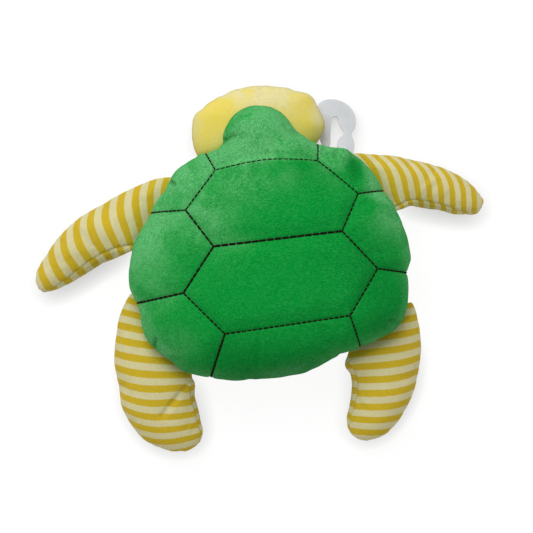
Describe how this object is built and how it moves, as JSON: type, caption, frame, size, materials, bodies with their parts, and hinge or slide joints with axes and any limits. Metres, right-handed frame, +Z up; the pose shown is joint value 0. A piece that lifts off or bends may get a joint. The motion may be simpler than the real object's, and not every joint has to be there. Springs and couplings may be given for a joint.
{
  "type": "plush turtle",
  "caption": "Stuffed sea turtle lying on its belly, with a stitched domed shell, a head that nods, flippers that swing at their sewn roots and a plastic hang hook on a tape loop.",
  "frame": {"origin": "centre of the flat under the belly, on the surface that the turtle lies on", "axes": "+Z up, +Y to the head, +X to the side that is on the right when seen from above with the head away from the viewer"},
  "size_m": [0.3126, 0.2511, 0.0738],
  "materials": {
    "green_plush": "short matte plush pile, emerald green with paler mottled rims",
    "yellow_plush": "short matte plush pile, pale yellow",
    "striped_cotton": "woven cotton with golden yellow and cream stripes",
    "polyester_filling": "loose white fibre, hidden inside",
    "black_thread": "thick matte black thread",
    "white_tape": "woven white tape",
    "clear_plastic": "flat translucent plastic"
  },
  "bodies": {
    "body": {"shell_cover": "green_plush", "belly_cover": "yellow_plush", "body_filling": "polyester_filling", "shell_topstitching": "black_thread", "hang_loop": "white_tape"},
    "head": {"head_crown": "yellow_plush", "head_chin": "yellow_plush", "head_filling": "polyester_filling", "neck_cover": "green_plush", "neck_filling": "polyester_filling", "left_eye": "black_thread", "right_eye": "black_thread", "smile": "black_thread"},
    "front_left": {"front_left_upper_panel": "striped_cotton", "front_left_lower_panel": "striped_cotton", "front_left_filling": "polyester_filling"},
    "front_right": {"front_right_upper_panel": "striped_cotton", "front_right_lower_panel": "striped_cotton", "front_right_filling": "polyester_filling"},
    "rear_left": {"rear_left_upper_panel": "striped_cotton", "rear_left_lower_panel": "striped_cotton", "rear_left_filling": "polyester_filling"},
    "rear_right": {"rear_right_upper_panel": "striped_cotton", "rear_right_lower_panel": "striped_cotton", "rear_right_filling": "polyester_filling"},
    "hook": {"hang_hook": "clear_plastic"}
  },
  "joints": [
    {"name": "head_nod", "type": "hinge", "parent": "body", "child": "head", "pos_m": [0, 0.08012, 0.05], "axis": [1, 0, 0], "range_deg": [0, 45]},
    {"name": "front_left_swing", "type": "hinge", "parent": "body", "child": "front_left", "pos_m": [-0.0746, 0.04098, 0.024], "axis": [0.5812, 0.8138, 0], "range_deg": [-60, 35]},
    {"name": "front_right_swing", "type": "hinge", "parent": "body", "child": "front_right", "pos_m": [0.07537, 0.04494, 0.024], "axis": [0.4692, -0.8831, 0], "range_deg": [-60, 35]},
    {"name": "rear_left_swing", "type": "hinge", "parent": "body", "child": "rear_left", "pos_m": [-0.08205, -0.04393, 0.024], "axis": [-0.4475, 0.8943, 0], "range_deg": [-60, 35]},
    {"name": "rear_right_swing", "type": "hinge", "parent": "body", "child": "rear_right", "pos_m": [0.06489, -0.05606, 0.024], "axis": [-0.8457, -0.5337, 0], "range_deg": [-60, 35]},
    {"name": "hook_swing", "type": "hinge", "parent": "body", "child": "hook", "pos_m": [0.0571, 0.06645, 0.012], "axis": [0.9863, -0.165, 0], "range_deg": [-100, 0]}
  ]
}
